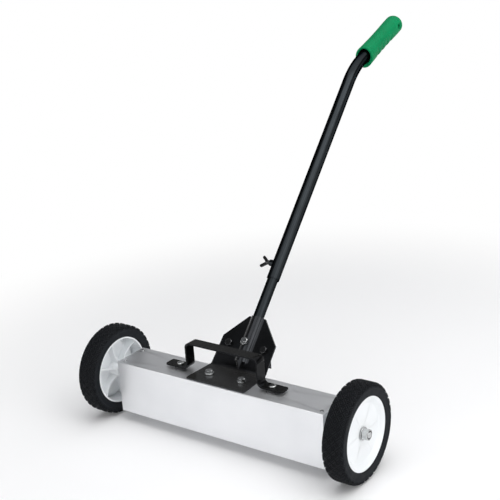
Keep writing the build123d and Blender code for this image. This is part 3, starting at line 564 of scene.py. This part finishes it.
def dress(node):
    """Gives a carried-over node its finish and rounds its edges."""
    piece = nodes[node]
    slot = slot_of[node]
    for place in piece.material_slots:
        # The strap gets the darker copy of the coat: painted shade.
        place.material = shaded_strap_coat if node == "release_strap" else finishes[slot]
    if slot not in EDGE_ROUND or node in UNROUNDED_NODES:
        return
    weld = piece.modifiers.new("weld", "WELD")
    weld.merge_threshold = WELD_DISTANCE
    bevel = piece.modifiers.new("edges", "BEVEL")
    bevel.width = EDGE_ROUND[slot]
    bevel.segments = EDGE_SEGMENTS
    bevel.limit_method = "ANGLE"
    bevel.angle_limit = math.radians(EDGE_ANGLE_DEGREES)
    bevel.harden_normals = True


for node in nodes:
    dress(node)


def floor():
    """A round pale floor that glows white towards its rim, so that it meets the surround unseen."""
    finish = Finish("floor", Roughness=0.9, Specular_IOR_Level=0.1)
    coordinates = finish.node("ShaderNodeTexCoord")
    length = finish.node("ShaderNodeVectorMath", operation="LENGTH")
    finish.link(coordinates.outputs["Object"], length.inputs[0])
    fade = finish.node("ShaderNodeMapRange", interpolation_type="SMOOTHSTEP")
    fade.inputs["From Min"].default_value = FLOOR_FADE_FROM
    fade.inputs["From Max"].default_value = FLOOR_FADE_TO
    finish.link(length.outputs["Value"], fade.inputs["Value"])
    finish.shader.inputs["Base Color"].default_value = FLOOR_COLOUR
    glow = finish.node("ShaderNodeEmission")
    glow.inputs["Color"].default_value = SURROUND_COLOUR
    blend = finish.node("ShaderNodeMixShader")
    finish.link(fade.outputs["Result"], blend.inputs["Fac"])
    finish.link(finish.shader.outputs["BSDF"], blend.inputs[1])
    finish.link(glow.outputs["Emission"], blend.inputs[2])
    finish.link(blend.outputs["Shader"], finish.tree.nodes["Material Output"].inputs["Surface"])

    turns = [2 * math.pi * step / FLOOR_SIDES for step in range(FLOOR_SIDES)]
    rim = [(FLOOR_RADIUS * math.cos(turn), FLOOR_RADIUS * math.sin(turn), 0.0) for turn in turns]
    mesh = bpy.data.meshes.new("floor")
    mesh.from_pydata(rim, [], [range(FLOOR_SIDES)])
    mesh.materials.append(finish.material)
    disc = bpy.data.objects.new("floor", mesh)
    bpy.context.scene.collection.objects.link(disc)


def surround():
    """World light: white around the horizon and below, dimmer towards the ceiling."""
    world = bpy.data.worlds.new("surround")
    world.use_nodes = True
    tree = world.node_tree
    coordinates = tree.nodes.new("ShaderNodeTexCoord")
    parts = tree.nodes.new("ShaderNodeSeparateXYZ")
    height = tree.nodes.new("ShaderNodeMapRange")
    height.interpolation_type = "SMOOTHSTEP"
    height.inputs["From Min"].default_value = math.sin(math.radians(CEILING_FROM_DEGREES))
    height.inputs["From Max"].default_value = math.sin(math.radians(CEILING_TO_DEGREES))
    shade = tree.nodes.new("ShaderNodeMix")
    shade.data_type = "RGBA"
    shade.inputs["A"].default_value = SURROUND_COLOUR
    shade.inputs["B"].default_value = CEILING_COLOUR
    tree.links.new(coordinates.outputs["Generated"], parts.inputs["Vector"])
    tree.links.new(parts.outputs["Z"], height.inputs["Value"])
    tree.links.new(height.outputs["Result"], shade.inputs["Factor"])
    tree.links.new(shade.outputs["Result"], tree.nodes["Background"].inputs["Color"])
    bpy.context.scene.world = world


def softbox(name, place, aim, width, height, power):
    """A rectangular lamp at a place, turned to a point."""
    lamp = bpy.data.lights.new(name, "AREA")
    lamp.shape = "RECTANGLE"
    lamp.size = width
    lamp.size_y = height
    lamp.energy = power
    holder = bpy.data.objects.new(name, lamp)
    holder.location = place
    holder.rotation_euler = (Vector(aim) - Vector(place)).to_track_quat("-Z", "Y").to_euler()
    bpy.context.scene.collection.objects.link(holder)


def camera():
    """Camera at the photograph's angle, aimed at a point above the wheels' axis."""
    low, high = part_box("tyre_right")
    target = Vector((CAMERA_TARGET_X, (low.y + high.y) / 2, CAMERA_TARGET_Z))
    azimuth = math.radians(CAMERA_AZIMUTH)
    elevation = math.radians(CAMERA_ELEVATION)
    level = math.cos(elevation)
    back = Vector((math.sin(azimuth) * level, -math.cos(azimuth) * level, math.sin(elevation)))
    right = (-back).cross(Vector((0, 0, 1))).normalized()
    turn = Matrix((right, back.cross(right), back)).transposed()
    lens = bpy.data.cameras.new("camera")
    lens.lens = CAMERA_LENS_MM
    lens.sensor_width = CAMERA_SENSOR_MM
    holder = bpy.data.objects.new("camera", lens)
    roll = Matrix.Rotation(math.radians(CAMERA_ROLL), 3, "Z")
    holder.matrix_world = Matrix.Translation(target + back * CAMERA_DISTANCE) @ (turn @ roll).to_4x4()
    bpy.context.scene.collection.objects.link(holder)
    bpy.context.scene.camera = holder


floor()
surround()
softbox("front ceiling", place=(0.55, -1.0, 2.4), aim=(0.4, -0.7, 0.0), width=3.3, height=1.7, power=22.0)
softbox("right", place=(2.0, -0.36, 1.72), aim=(0.0, -0.1, 0.4), width=1.8, height=1.8, power=17.0)
softbox("overhead", place=(0.4, 0.5, 2.6), aim=(0.0, 0.0, 0.0), width=3.2, height=3.2, power=44.0)
softbox("side", place=(2.4, -1.0, 0.8), aim=(0.0, -0.3, 0.1), width=1.8, height=1.2, power=6.0)
softbox("left fill", place=(-1.7, -1.9, 1.1), aim=(-0.2, -0.5, 0.0), width=1.6, height=1.2, power=9.0)
softbox("front fill", place=(0.8, -2.3, 0.6), aim=(-0.25, -0.35, 0.1), width=1.6, height=0.9, power=5.0)
camera()
bpy.context.scene.view_settings.view_transform = "Standard"
